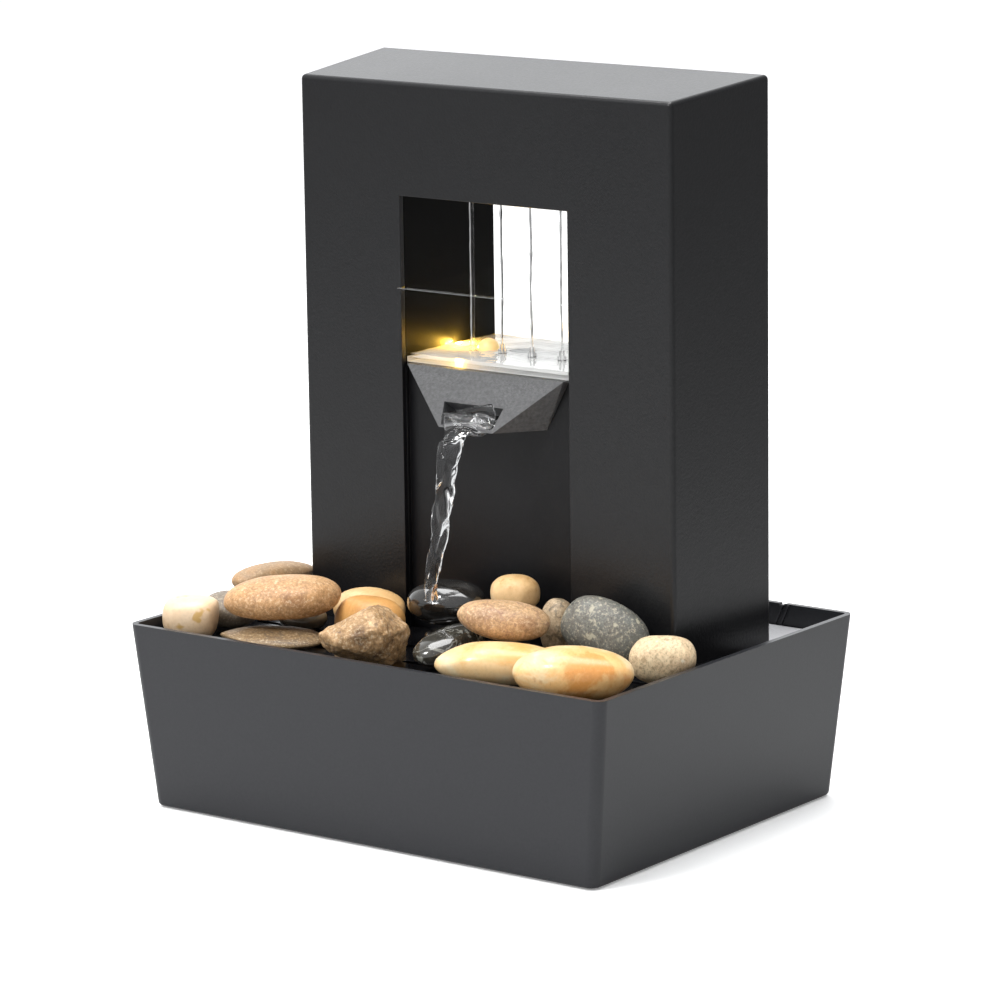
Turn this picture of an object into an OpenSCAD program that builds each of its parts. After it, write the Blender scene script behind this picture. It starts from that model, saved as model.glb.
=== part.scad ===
// Tabletop water fountain: a tapered basin, and a lift-off head that is a deck with a
// hollow tower on it. A pump under the deck feeds four dripping threads in the tower's
// window. The clear tray under them drains through a spout on to loose pebbles.
// Origin: centre of the footprint on the surface it stands on. +Y points to the back.

/* [Basin] */
// Width of the basin at its rim
basin_w = 212; // [208:1:218]
// Depth of the basin at its rim, front to back
basin_d = 160; // [158:1:166]
// Height of the rim above the table
basin_h = 69; // [67:1:72]
// Wall thickness of the basin
basin_wall = 2.2; // [2:0.1:2.6]
// How far the side walls lean in from rim to floor
lean_x = 6.7; // [4:0.1:7]
// How far the front and back walls lean in
lean_y = 4.1; // [3:0.1:5]

/* [Deck] */
// Depth of the deck's top below the rim
deck_drop = 8; // [7:0.5:9]
// Thickness of the deck
deck_t = 2.2; // [2:0.1:2.6]

/* [Tower] */
// Width of the tower's front face
tower_w = 165; // [162:1:168]
// Depth of the tower
tower_d = 55.6; // [55:0.1:57]
// Height of the front face's top above the table
tower_top = 263.5; // [260:0.5:268]
// Growth of each side and of the top from front to back
draft = 4.5; // [3:0.1:5]
// Wall thickness of the tower
shell_wall = 2.4; // [2.2:0.1:2.6]

/* [Window] */
// Width of the window at the front
window_w = 75; // [74:0.5:76]
// Height of the clear tray's underside
window_floor = 160.5; // [160:0.5:161]
// Height of the window's top edge
window_top = 222; // [220:0.5:224]
// Height of the clear tray's walls
tray_h = 27.8; // [26:0.1:30]
// Distance between neighbouring threads
thread_pitch = 13.4; // [12:0.1:14]
// Thickness of a thread
thread_d = 0.8; // [0.6:0.1:0.9]

/* [Spout] */
// How far the spout's lip stands out from the tower
spout_reach = 11.8; // [10:0.1:13]
// Height of the spout's underside
spout_bottom = 141.2; // [140:0.1:142]

/* [Hidden] */

$fn = 48;
eps = 0.01;        // overshoot that keeps cuts clean
gap = 0.1;         // air between parts that meet
smooth = 32;       // segments on the balls inside a hull
plastic = "#3a3b3f";
dark = "#1d1e20";
clear = [0.9, 0.95, 0.97, 0.35];
steel = "silver";

foot_h = 0.6;
foot_r = 6;
basin_corner = 4;
basin_edge = 1.4;  // rounding of the basin's bottom edge
deck_top = basin_h - deck_drop;
deck_bottom = deck_top - deck_t;
deck_w = basin_w - 8;
deck_d = basin_d - 7.4;
rib_t = 3;
notch_x = [74.5, 77];
rib_in = 4;        // how far a rib reaches under the deck's edge

front_y = -2.2;
back_y = front_y + tower_d;
tower_edge = 1.8;  // rounding of the tower's edges
recess = 4.1;      // depth of the panel below the window, behind the front face
panel_y = front_y + recess;
cover_t = 2.2;
cover_y = back_y - 0.2 - cover_t;
liner_t = 1.6;
liner_taper = 1.2; // the window's half width shrinks by this towards the back
wall_in_y = front_y + shell_wall;

tray_t = 1.8;
tray_floor = window_floor + 0.1;
tray_top = window_floor + tray_h;
thread_y = 18;
thread_xs = [for (i = [-1.5 : 1 : 1.5]) i * thread_pitch];
drain_at = [-4, 27];
led_at = [-17.5, 24];
chute_half = 10.3;
led_r = 4;

manifold_w = 60;
manifold_d = 20;
manifold_z = window_top + liner_t + gap;
manifold_h = 12;
manifold_wall = 1.6;
hose_r = 4;
hose_bore = 3.25;
barb_r = 3.2;
barb_bore = 2;
barb_z = manifold_z + 7.5;
bend_r = 10;

pump_x = [28, 66];
pump_y = [3, 33];
pump_z = [12, 40];
riser_x = 58;
shaft_y = 18;
shaft_z = 26;
shaft_r = 1;
chamber_r = 11;
rotor_r = 5.6;

screw_r = 1.5;
screw_hole = 1.55;
head_r = 3;
boss_r = 4;
shell_boss_at = [for (x = [-70, 70], y = [9, 43]) [x, y]];
cradle_screw_at = [[34, 9], [34, 27]];
cover_screw_at = [for (x = [-78, 78], z = [84, 160, 252]) [x, z]];
inlet_at = [60, 80];   // x and z of the power inlet

// ---- shared shapes --------------------------------------------------------------------

// Prism whose half width goes from w0 at y0 to w1 at y1.
module wedge(y0, y1, w0, w1, z0, z1)
    translate([0, 0, z0]) linear_extrude(z1 - z0)
        polygon([[-w0, y0], [w0, y0], [w1, y1], [-w1, y1]]);

module box(x, y, z)
    translate([x[0], y[0], z[0]]) cube([x[1] - x[0], y[1] - y[0], z[1] - z[0]]);

// Cylinder along Z between two heights.
module post(at, r, z0, z1) translate([at[0], at[1], z0]) cylinder(r = r, h = z1 - z0);

// Cylinder along Y between two depths, at x and z.
module peg(at, r, y0, y1) translate([at[0], y0, at[1]]) rotate([-90, 0, 0]) cylinder(r = r, h = y1 - y0);

// Cylinder along X between two places on the pump's axis.
module rod(r, x0, x1) translate([x0, shaft_y, shaft_z]) rotate([0, 90, 0]) cylinder(r = r, h = x1 - x0);

// Slot with round ends along X.
module slot(at, length, width, z0, z1) {
    for (s = [-1, 1]) post([at[0] + s * (length - width) / 2, at[1]], width / 2, z0, z1);
    box([at[0] - (length - width) / 2, at[0] + (length - width) / 2],
        [at[1] - width / 2, at[1] + width / 2], [z0, z1]);
}

module rounded_plate(w, d, r, z0, z1) {
    box([-w / 2 + r, w / 2 - r], [-d / 2, d / 2], [z0, z1]);
    box([-w / 2, w / 2], [-d / 2 + r, d / 2 - r], [z0, z1]);
    for (x = [-1, 1], y = [-1, 1]) post([x * (w / 2 - r), y * (d / 2 - r)], r, z0, z1);
}

// Tube swept along a route of points, as one closed mesh.
function unit(v) = v / norm(v);
function along(route, i) = unit(route[min(i + 1, len(route) - 1)] - route[max(i - 1, 0)]);
function ring(centre, dir, r, sides) =
    let (side = unit(cross(dir, [0, 1, -1])), up = cross(side, dir))
    [for (k = [0 : sides - 1]) centre + r * (cos(360 * k / sides) * side + sin(360 * k / sides) * up)];
module lead(route, r) {
    sides = 8;
    last = len(route) - 1;
    points = [for (i = [0 : last]) each ring(route[i], along(route, i), r, sides)];
    walls = [for (i = [0 : last - 1], k = [0 : sides - 1])
        let (a = i * sides + k, b = i * sides + (k + 1) % sides) [a, a + sides, b + sides, b]];
    ends = [[for (k = [0 : sides - 1]) k], [for (k = [sides - 1 : -1 : 0]) last * sides + k]];
    polyhedron(points, concat(walls, ends), convexity = 4);
}

// Smooth route through hand-chosen points: each stretch is divided on a Catmull-Rom curve.
function curve(p, steps) = [for (i = [0 : len(p) - 2], s = [0 : steps - 1])
    let (t = s / steps, a = p[max(i - 1, 0)], b = p[i], c = p[i + 1], d = p[min(i + 2, len(p) - 1)])
    0.5 * (2 * b + (c - a) * t + (2 * a - 5 * b + 4 * c - d) * t * t + (3 * b - a - 3 * c + d) * t * t * t)];
function route(p, steps) = concat(curve(p, steps), [p[len(p) - 1]]);

// ---- basin ----------------------------------------------------------------------------

// Tapered block with round corners, inset from the basin's outside by t.
module basin_block(t, top) {
    r = basin_corner - t;
    lean = (top - foot_h) / (basin_h - foot_h);
    hull() for (x = [-1, 1], y = [-1, 1]) {
        for (a = [0 : 30 : 90])
            translate([x * (basin_w / 2 - lean_x - t - r), y * (basin_d / 2 - lean_y - t - r),
                       foot_h + t + basin_edge * (1 - cos(a))])
                cylinder(r = r - basin_edge * (1 - sin(a)), h = eps, $fn = smooth);
        translate([x * (basin_w / 2 - lean_x * (1 - lean) - t - r),
                   y * (basin_d / 2 - lean_y * (1 - lean) - t - r), top - eps])
            cylinder(r = r, h = eps, $fn = smooth);
    }
}

// Upright ribs that carry the deck's edge.
module deck_ribs()
    intersection() {
        basin_block(0.5, basin_h);
        union() {
            for (x = [-70, 0, 70], s = [-1, 1])
                box([x - rib_t / 2, x + rib_t / 2],
                    s > 0 ? [deck_d / 2 - rib_in, basin_d / 2] : [-basin_d / 2, -deck_d / 2 + rib_in],
                    [foot_h + 1, deck_bottom]);
            for (y = [-36, 36], s = [-1, 1])
                box(s > 0 ? [deck_w / 2 - rib_in, basin_w / 2] : [-basin_w / 2, -deck_w / 2 + rib_in],
                    [y - rib_t / 2, y + rib_t / 2], [foot_h + 1, deck_bottom]);
        }
    }

// Two slanting ribs inside the back wall that guide the adaptor's lead up to the notch.
module lead_guides()
    intersection() {
        basin_block(0.5, basin_h - 0.3);
        for (x = notch_x)
            translate([x, basin_d / 2 - basin_wall - 0.9, basin_h - 4.4])
                rotate([0, 23, 0])
                    box([-0.4, 0.4], [0, 3], [-4, 5.2]);
    }

foot_at = [for (x = [-1, 1], y = [-1, 1]) [x * (basin_w / 2 - 24), y * (basin_d / 2 - 20)]];

module basin() color(plastic) {
    difference() {
        basin_block(0, basin_h);
        basin_block(basin_wall, basin_h + 2);
        for (at = foot_at) post(at, foot_r + 0.2, foot_h - 1, foot_h + 1);
        // notch in the back rim that the adaptor's lead drops into
        box(notch_x, [basin_d / 2 - 5, basin_d / 2 + 1], [basin_h - 1.5, basin_h + 3]);
    }
    deck_ribs();
    lead_guides();
}

module rubber_feet() color(dark)
    for (at = foot_at) post(at, foot_r, 0, foot_h + 0.9);

// ---- deck -----------------------------------------------------------------------------

module deck() color(plastic)
    difference() {
        union() {
            rounded_plate(deck_w, deck_d, 3, deck_bottom, deck_top);
            // tabs that locate the tower's walls
            for (x = [-60, 50], s = [0, 1])
                box([x, x + 12], s == 0 ? [wall_in_y + 0.3, wall_in_y + 1.8] : [cover_y - 2, cover_y - 0.5],
                    [deck_top - eps, deck_top + 6]);
        }
        // drain slots under the pebbles
        for (i = [-4 : 4], y = [-64, -44, -24]) slot([i * 21, y], 14, 3, deck_bottom - 1, deck_top + 1);
        // passage for the hose and the leads
        box([44, 68], [12, 43], [deck_bottom - 1, deck_top + 1]);
        for (at = shell_boss_at) post(at, screw_hole, deck_bottom - 1, deck_top + 1);
        for (at = cradle_screw_at) post(at, screw_hole, deck_bottom - 1, deck_top + 1);
    }

module screw_up(at, head_z, length) {
    post(at, head_r, head_z - 1.8, head_z);
    post(at, screw_r, head_z - eps, head_z + length);
}

module deck_screws() color(steel) {
    for (at = shell_boss_at) screw_up(at, deck_bottom - gap, 12);
    for (at = cradle_screw_at) screw_up(at, deck_bottom - gap - 1.8 - gap, 4);
}

// ---- tower ----------------------------------------------------------------------------

function tower_half(y) = tower_w / 2 + draft * (y - front_y) / tower_d;
function tower_roof(y) = tower_top + draft * (y - front_y) / tower_d;

module tower_outside()
    difference() {
        hull() for (x = [-1, 1], y = [front_y + tower_edge, back_y - tower_edge], z = [0, 1])
            translate([x * (tower_half(y) - tower_edge), y,
                       z == 0 ? deck_top - 5 : tower_roof(y) - tower_edge])
                sphere(tower_edge, $fn = smooth);
        box([-120, 120], [-50, 100], [deck_top - 20, deck_top]);
    }

// Space inside the shell's walls, grown inwards by t.
module tower_inside(t, y0, y1, z0)
    intersection() {
        wedge(y0, y1, tower_half(y0) - shell_wall - t, tower_half(y1) - shell_wall - t, z0, 300);
        rotate([90, 0, 90]) translate([0, 0, -120]) linear_extrude(240)
            polygon([[y0, z0], [y1, z0], [y1, tower_roof(y1) - shell_wall - t],
                     [y0, tower_roof(y0) - shell_wall - t]]);
    }

module tower_shell() color(plastic) {
    difference() {
        tower_outside();
        tower_inside(0, wall_in_y, back_y + 1, deck_top - 1);
        box([-window_w / 2, window_w / 2], [front_y - 1, wall_in_y + 1], [deck_top - 1, window_top]);
    }
    // bosses that the deck's screws bite into
    for (at = shell_boss_at) difference() {
        union() {
            post(at, boss_r, deck_top, deck_top + 14);
            box(at[0] > 0 ? [at[0], tower_half(at[1]) - 1] : [1 - tower_half(at[1]), at[0]],
                [at[1] - 1, at[1] + 1], [deck_top, deck_top + 14]);
        }
        post(at, screw_hole, deck_top - 1, deck_top + 13);
    }
    // bosses behind the back cover
    for (at = cover_screw_at) difference() {
        union() {
            peg(at, boss_r, cover_y - 13, cover_y - gap);
            box(at[0] > 0 ? [at[0], tower_half(cover_y - 13) - 1] : [1 - tower_half(cover_y - 13), at[0]],
                [cover_y - 13, cover_y - gap], [at[1] - 1, at[1] + 1]);
        }
        peg(at, screw_hole, cover_y - 12, cover_y + 1);
    }
}

module front_panel() color(plastic)
    difference() {
        union() {
            box([-39.3, 39.3], [panel_y, panel_y + 2], [deck_top + gap, window_floor - liner_t - 0.2]);
            for (s = [-1, 1])
                box(s > 0 ? [window_w / 2, 39.3] : [-39.3, -window_w / 2], [wall_in_y + gap, panel_y + 1],
                    [deck_top + gap, window_floor - liner_t - 0.2]);
        }
        // outlet on to the spout
        box([-9, 9], [panel_y - 1, panel_y + 3], [notch_floor, notch_floor + 3]);
    }

module cover_screw_pair(r, y0, y1) for (at = cover_screw_at) peg(at, r, y0, y1);

module back_cover() color(plastic)
    difference() {
        tower_inside(0.15, cover_y, cover_y + cover_t, deck_top + gap);
        window_prism(liner_t + 0.15, window_floor - liner_t - 0.15, window_top + liner_t + 0.15);
        cover_screw_pair(screw_hole, cover_y - 1, cover_y + cover_t + 1);
        cover_screw_pair(head_r + 0.15, cover_y + cover_t - 1.3, cover_y + cover_t + 1);
        peg(inlet_at, 5.1, cover_y - 1, cover_y + cover_t + 1);
    }

module cover_screws() color(steel)
    difference() {
        union() {
            cover_screw_pair(screw_r, cover_y - 10, cover_y + cover_t - 1);
            cover_screw_pair(head_r, cover_y + cover_t - 1.2, cover_y + cover_t);
        }
        // cross recesses
        for (at = cover_screw_at, a = [0, 90])
            translate([at[0], cover_y + cover_t, at[1]])
                rotate([0, a, 0]) cube([3.6, 1.2, 0.7], center = true);
    }

// ---- window ---------------------------------------------------------------------------

// The window's tunnel, which narrows towards the back, grown by t on each side.
module window_prism(t, z0, z1)
    wedge(wall_in_y + gap, back_y - 0.1, window_w / 2 + t, window_w / 2 - liner_taper + t, z0, z1);

module window_liner() color(dark)
    difference() {
        window_prism(liner_t, window_floor - liner_t, window_top + liner_t);
        translate([0, -1, 0]) window_prism(0, window_floor, window_top);
        translate([0, 1, 0]) window_prism(0, window_floor, window_top);
        // room for the spout's top edge
        box([-35.4, 35.4], [wall_in_y - 1, panel_y + gap], [window_floor - 3, window_floor + 1]);
        post(drain_at, 4.1, window_floor - 3, window_floor + 1);
        post(led_at, led_r + 0.3, window_floor - 3, window_floor + 1);
        for (x = thread_xs) post([x, thread_y], 2.1, window_top - 1, window_top + 3);
    }

module clear_tray() color(clear)
    difference() {
        union() {
            wedge(front_y - 0.2, 51.5, window_w / 2 - 0.25, window_w / 2 - liner_taper - 0.25,
                tray_floor, tray_top);
            // front pane, which overlaps the tower's face a little
            box([-window_w / 2 - 0.7, window_w / 2 + 0.7], [front_y - 1.2, front_y - gap],
                [tray_floor, tray_top]);
        }
        wedge(front_y + 0.8, 49.7, window_w / 2 - 0.25 - tray_t, window_w / 2 - liner_taper - 0.25 - tray_t,
              tray_floor + tray_t, tray_top + 1);
        post(drain_at, 4.05, tray_floor - 1, tray_floor + 3);
        post(led_at, led_r + 0.25, tray_floor - 1, tray_floor + 3);
    }

// ---- spout and drain ------------------------------------------------------------------

lip_y = front_y - spout_reach;
notch_half = 13.2;               // half width of the notch's top edge
notch_top = spout_bottom + 8.4;  // height of its top edge on the sloped face
notch_floor = spout_bottom + 0.8;

// Corners at the tower and at the lip: half widths and heights, at the back and the front.
module funnel(back, front)
    hull() for (s = [-1, 1]) {
        for (p = back) translate([s * p[0] - 0.05, p[1], p[2]]) cube([0.1, 0.01, 0.01]);
        for (p = front) translate([s * p[0] - 0.05, p[1], p[2]]) cube([0.1, 0.01, 0.01]);
    }

module spout() color(plastic)
    difference() {
        funnel([[35, panel_y - 0.06, window_floor - 0.15], [24.8, panel_y - 0.06, spout_bottom]],
               [[35, front_y, window_floor - 0.15], [12, lip_y, spout_bottom]]);
        // pocket that opens in the sloped face and is square to it
        funnel([[notch_half, -1.5, notch_floor + 3], [11.2, -1.5, notch_floor]],
               [[notch_half, lip_y - 1, notch_top + 3.9], [11.2, lip_y - 2, notch_floor]]);
        // slot that the water comes out of
        box([-9, 9], [-2, panel_y + 1], [notch_floor, notch_floor + 3]);
    }

module chute_side(z_in, y0, y1)
    polygon([[y0, spout_bottom - 0.8 + z_in], [y1, spout_bottom + 5 + z_in], [y1, 170], [y0, 170]]);

module drain_chute() color(dark)
    difference() {
        intersection() {
            translate([-chute_half, 0, 0]) rotate([90, 0, 90]) linear_extrude(2 * chute_half)
                chute_side(0, panel_y + 2.1, 35);
            box([-20, 20], [0, 40], [0, window_floor - liner_t - gap]);
        }
        translate([1.4 - chute_half, 0, 0]) rotate([90, 0, 90]) linear_extrude(2 * chute_half - 2.8)
            chute_side(1.6, panel_y, 33.5);
    }

module drain_grommet() color(dark)
    difference() {
        union() {
            post(drain_at, 4, window_floor - 3, tray_floor + tray_t);
            post(drain_at, 5, tray_floor + tray_t + 0.05, tray_floor + tray_t + 0.9);
            post(drain_at, 3.8, tray_floor + tray_t - eps, tray_floor + tray_t + 0.2);
        }
        post(drain_at, 3, window_floor - 4, tray_floor + 6);
    }

// ---- drip feed ------------------------------------------------------------------------

manifold_y = [thread_y - manifold_d / 2, thread_y + manifold_d / 2];

module drip_manifold() color(dark)
    difference() {
        union() {
            box([-manifold_w / 2, manifold_w / 2], manifold_y, [manifold_z, manifold_z + manifold_h]);
            for (x = thread_xs) post([x, thread_y], 2, window_top - 0.8, manifold_z + eps);
            translate([manifold_w / 2 - eps, thread_y, barb_z])
                rotate([0, 90, 0]) cylinder(r = barb_r, h = 12);
        }
        box([-manifold_w / 2 + manifold_wall, manifold_w / 2 - manifold_wall],
            [manifold_y[0] + manifold_wall, manifold_y[1] - manifold_wall],
            [manifold_z + manifold_wall, manifold_z + manifold_h + 1]);
        for (x = thread_xs) post([x, thread_y], 1, window_top - 2, manifold_z + 3);
        translate([manifold_w / 2 - 3, thread_y, barb_z]) rotate([0, 90, 0]) cylinder(r = barb_bore, h = 20);
    }

module manifold_lid() color(dark) {
    z = manifold_z + manifold_h;
    box([-manifold_w / 2, manifold_w / 2], manifold_y, [z + gap, z + 1.6]);
    box([-manifold_w / 2 + 2, manifold_w / 2 - 2], [manifold_y[0] + 2, manifold_y[1] - 2],
        [z - 1.2, z + gap + eps]);
}

module drip_threads() color("whitesmoke")
    for (x = thread_xs) {
        post([x, thread_y], thread_d / 2, tray_floor + tray_t + 0.3, manifold_z + manifold_wall + 1.3);
        translate([x, thread_y, manifold_z + manifold_wall + 1.2]) sphere(1.4, $fn = 24);
    }

module thread_anchors() color(clear)
    for (x = thread_xs) difference() {
        union() {
            post([x, thread_y], 1.6, tray_floor + tray_t + 0.05, tray_floor + tray_t + 3);
            post([x, thread_y], 1, tray_floor + tray_t + 2, tray_floor + tray_t + 5);
        }
        post([x, thread_y], thread_d / 2 + 0.05, tray_floor + tray_t + 0.25, tray_floor + tray_t + 6);
    }

module hose_part(r) {
    bend_x = riser_x - bend_r;
    translate([manifold_w / 2 + 0.5, thread_y, barb_z]) rotate([0, 90, 0])
        cylinder(r = r, h = bend_x - manifold_w / 2 - 0.5);
    translate([bend_x, thread_y, barb_z - bend_r]) rotate([90, 0, 0])
        rotate_extrude(angle = 90) translate([bend_r, 0]) circle(r);
    post([riser_x, thread_y], r, pump_z[1] + 0.5, barb_z - bend_r);
}

module riser_tube() color("gainsboro")
    difference() {
        hose_part(hose_r);
        hose_part(hose_bore);
        translate([manifold_w / 2 - 1, thread_y, barb_z]) rotate([0, 90, 0]) cylinder(r = hose_bore, h = 3);
        post([riser_x, thread_y], hose_bore, pump_z[1] - 1, pump_z[1] + 2);
    }

// ---- pump -----------------------------------------------------------------------------

module pump_cradle() color(plastic)
    difference() {
        union() {
            box([28, 66], [pump_y[0] - 1.7, pump_y[1] + 1.7], [deck_bottom - gap - 1.8, deck_bottom - gap]);
            for (x = [36, 46]) {
                box([x, x + 7], [pump_y[0] - 1.7, pump_y[0] - gap],
                    [pump_z[0] - 1.6, deck_bottom - gap - eps]);
                box([x, x + 7], [pump_y[1] + gap, pump_y[1] + 1.7],
                    [pump_z[0] - 1.6, deck_bottom - gap - eps]);
                // hooks under the pump
                box([x, x + 7], [pump_y[0] - 1.7, pump_y[0] + 2], [pump_z[0] - 1.6, pump_z[0] - gap]);
                box([x, x + 7], [pump_y[1] - 2, pump_y[1] + 1.7], [pump_z[0] - 1.6, pump_z[0] - gap]);
            }
        }
        post([riser_x, thread_y], hose_r + 0.5, deck_bottom - 5, deck_bottom + 1);
        for (at = cradle_screw_at) post(at, screw_hole, deck_bottom - 5, deck_bottom + 1);
    }

module pump_body() color(dark)
    difference() {
        union() {
            box([pump_x[0] + 2, pump_x[1]], pump_y, [pump_z[0] + 2, pump_z[1] - 2]);
            box([pump_x[0] + 2, pump_x[1]], [pump_y[0] + 2, pump_y[1] - 2], pump_z);
            box(pump_x, [pump_y[0] + 2, pump_y[1] - 2], [pump_z[0] + 2, pump_z[1] - 2]);
            post([riser_x, thread_y], barb_r, pump_z[1] - 1, pump_z[1] + 10);
        }
        rod(chamber_r, 52, pump_x[1] + 1);
        rod(rotor_r + 0.6, 31, 53);
        rod(shaft_r + 0.02, 29, 32);
        post([riser_x, thread_y], barb_bore, shaft_z, pump_z[1] + 11);
    }

cover_x = [pump_x[1] + gap, pump_x[1] + 6];

module pump_cover() color(dark)
    difference() {
        union() {
            box(cover_x, [pump_y[0] + 0.5, pump_y[1] - 0.5], [pump_z[0] + 0.5, pump_z[1] - 0.5]);
            // rails that hold the slider
            for (z = [[19.2, 21.2], [32.8, 34.8]]) {
                box([cover_x[1] - eps, cover_x[1] + 1.5], [7, 31], z);
                box([cover_x[1] + 1.3, cover_x[1] + 2.2], [7, 31],
                    z[0] < 25 ? [z[0], z[1] + 1] : [z[0] - 1, z[1]]);
            }
        }
        difference() {
            box([cover_x[0] - 1, cover_x[1] - 1.6], [pump_y[0] + 2.2, pump_y[1] - 2.2],
                [pump_z[0] + 2.2, pump_z[1] - 2.2]);
            rod(3, cover_x[0] - 2, cover_x[1]);
        }
        rod(shaft_r + 0.02, cover_x[0] - 1, cover_x[0] + 2);
        // intake slots
        for (i = [0 : 3])
            box([cover_x[1] - 3, cover_x[1] + 1], [21 + i * 2.5, 22.4 + i * 2.5], [22.5, 31.5]);
        for (i = [0 : 6]) box([cover_x[1] - 3, cover_x[1] + 1], [8 + i * 3, 9.5 + i * 3], [15.2, 18]);
    }

module impeller() color("white")
    difference() {
        union() {
            rod(3.2, rotor_end, 63);
            for (a = [0 : 60 : 300]) translate([0, shaft_y, shaft_z]) rotate([a, 0, 0])
                box([55, 62], [2, 9.5], [-0.6, 0.6]);
            rod(9.8, 54, 55.2);
        }
        rod(shaft_r + 0.05, 30, 66);
    }

rotor_end = 52.1;

module rotor_magnet() color("dimgray")
    difference() {
        rod(rotor_r, 32, rotor_end - 0.05);
        rod(shaft_r + 0.05, 30, 66);
    }

module impeller_shaft() color("whitesmoke") rod(shaft_r, 29.1, cover_x[0] + 1.9);

module flow_slider() color("gray") {
    box([cover_x[1] + gap, cover_x[1] + 1.2], [8, 19], [21.3, 32.7]);
    box([cover_x[1] + 1.1, cover_x[1] + 3], [12, 15], [24, 30]);
}

pump_lead_route = [[27.5, 18, 33], [24, 18, 33], [18, 23, 37], [20, 33, 45], [33, 37.5, 51],
                   [48, 37.5, 57], [53, 35, 68], [57.5, 35, 78], [58, 40.4, 79]];
module pump_lead() color(dark) lead(route(pump_lead_route, 3), 1.5);

// ---- light ----------------------------------------------------------------------------

led_z = [148, window_floor - liner_t - gap];

module led_holder() color(dark)
    difference() {
        post(led_at, 7, led_z[0], led_z[1]);
        post(led_at, 6, led_z[0] + 1.5, led_z[1] + 1);
        post([led_at[0], led_at[1] + 3], 1.1, led_z[0] - 1, led_z[0] + 3);
    }

module led_board() color("darkgreen") {
    post(led_at, 5.8, led_z[0] + 1.6, led_z[0] + 3);
    translate([led_at[0] - 1.75, led_at[1] - 1.75, led_z[0] + 3 - eps]) cube([3.5, 3.5, 0.9]);
}

module led_lens() color([1, 0.9, 0.6, 0.6])
    difference() {
        union() {
            post(led_at, 5.6, led_z[0] + 4.1, led_z[0] + 5.5);
            post(led_at, led_r, led_z[0] + 4.1, tray_floor + tray_t + 1.2);
            translate([led_at[0], led_at[1], tray_floor + tray_t + 1.2]) sphere(led_r);
        }
        post(led_at, 2.6, led_z[0], tray_floor);
    }

module led_seal() color("black")
    difference() {
        post(led_at, 5.6, led_z[0] + 5.6, led_z[1] - 0.05);
        post(led_at, led_r + 0.05, led_z[0], led_z[1] + 1);
    }

led_lead_route = [[-17.5, 27, 147.9], [-17.5, 27, 142], [-14, 31, 135], [0, 39, 126], [20, 44, 114],
                  [40, 42, 100], [55, 36, 91], [60.5, 36, 84.5], [60.5, 40.4, 83]];
module led_lead() color("firebrick") lead(route(led_lead_route, 3), 1);

// ---- power inlet ----------------------------------------------------------------------

inlet_face = back_y + 1.4;

module inlet_body() color("black")
    difference() {
        union() {
            peg(inlet_at, 5, inlet_face - 14, inlet_face);
            peg(inlet_at, 7, back_y - 0.15, inlet_face);
        }
        peg(inlet_at, 3.1, inlet_face - 10, inlet_face + 1);
    }

module inlet_pin() color(steel) peg(inlet_at, 1, inlet_face - 9.98, inlet_face - 0.5);

module inlet_nut() color(steel)
    difference() {
        translate([inlet_at[0], cover_y - 3.2, inlet_at[1]])
            rotate([-90, 0, 0]) cylinder(r = 7.5, h = 3.1, $fn = 6);
        peg(inlet_at, 5.05, cover_y - 5, cover_y + 1);
    }

// ---- pebbles --------------------------------------------------------------------------

// Water-worn stone: an ellipsoid with slow bumps. Squareness 1 is an ellipsoid, less is boxier.
function power(v, p) = sign(v) * pow(abs(v), p);
function bump(a, e, seed, rough) =
    1 + rough * (sin(2 * a + 70 * seed) * cos(e) + 0.6 * sin(3 * a - 40 * seed) * cos(e) * cos(e)
        + 0.5 * sin(2 * e + 90 * seed));
module stone(size, seed, squareness = 0.9, rough = 0.03) {
    turns = 20;
    rows = 10;
    body = [for (j = [1 : rows - 1], i = [0 : turns - 1])
        let (a = 360 * i / turns, e = -90 + 180 * j / rows, b = bump(a, e, seed, rough))
        [size[0] / 2 * power(cos(e), squareness) * power(cos(a), squareness) * b,
         size[1] / 2 * power(cos(e), squareness) * power(sin(a), squareness) * b,
         size[2] / 2 * power(sin(e), squareness) * b]];
    bottom = len(body);
    top = bottom + 1;
    ends = [[0, 0, -size[2] / 2 * bump(0, -90, seed, rough)],
        [0, 0, size[2] / 2 * bump(0, 90, seed, rough)]];
    function at(j, i) = (j - 1) * turns + i % turns;
    faces = concat(
        [for (i = [0 : turns - 1]) [bottom, at(1, i), at(1, i + 1)]],
        [for (i = [0 : turns - 1]) [top, at(rows - 1, i + 1), at(rows - 1, i)]],
        [for (j = [1 : rows - 2], i = [0 : turns - 1]) [at(j, i), at(j + 1, i), at(j, i + 1)]],
        [for (j = [1 : rows - 2], i = [0 : turns - 1]) [at(j, i + 1), at(j + 1, i), at(j + 1, i + 1)]]);
    polyhedron(concat(body, ends), faces, convexity = 4);
}

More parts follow.
